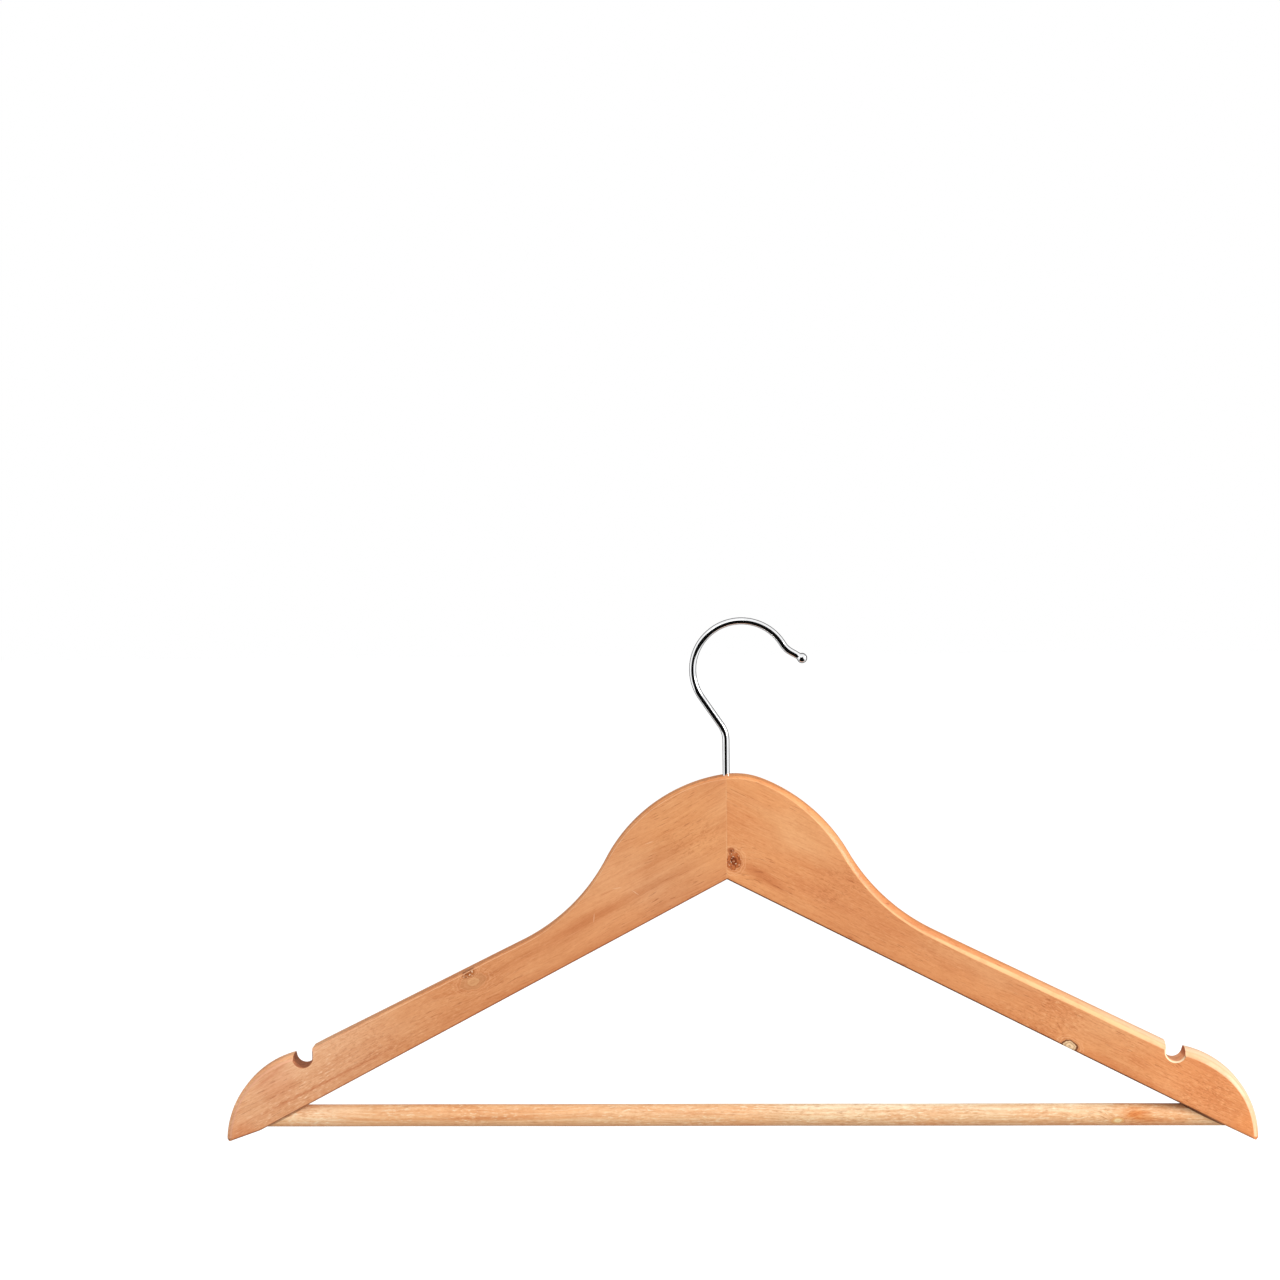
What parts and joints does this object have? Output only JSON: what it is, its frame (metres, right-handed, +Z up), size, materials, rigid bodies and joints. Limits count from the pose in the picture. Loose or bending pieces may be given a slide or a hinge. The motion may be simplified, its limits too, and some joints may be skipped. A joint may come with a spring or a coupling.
{
  "type": "clothes hanger",
  "caption": "Flat wooden clothes hanger with contoured shoulders, strap notches, a round trouser bar and a swivelling chrome wire hook.",
  "frame": {"origin": "the rail seat: the inner top of the hook's crown, in the middle of the thickness", "axes": "+X along the trouser bar towards the right arm, +Y from the front face to the back face, +Z up as the hanger hangs"},
  "size_m": [0.445, 0.012, 0.2263],
  "materials": {
    "arm_wood": "clear satin lacquer over warm light-orange hardwood",
    "bar_wood": "thin clear lacquer over pale fine-grained dowel",
    "hook_chrome": "bright chrome plate",
    "zinc_hardware": "zinc plated",
    "brad_steel": "plain bright steel, slightly dulled"
  },
  "bodies": {
    "hook": {"swivel_hook": "hook_chrome", "hook_nut": "zinc_hardware"},
    "frame": {"arm_left": "arm_wood", "arm_right": "arm_wood", "trouser_bar": "bar_wood", "hook_washer": "zinc_hardware", "bar_pin_left": "brad_steel", "bar_pin_right": "brad_steel"}
  },
  "joints": [
    {"name": "hook_swivel", "type": "hinge", "parent": "hook", "child": "frame", "pos_m": [-0.0068, 0, -0.08], "axis": [0, 0, 1], "continuous": true}
  ]
}
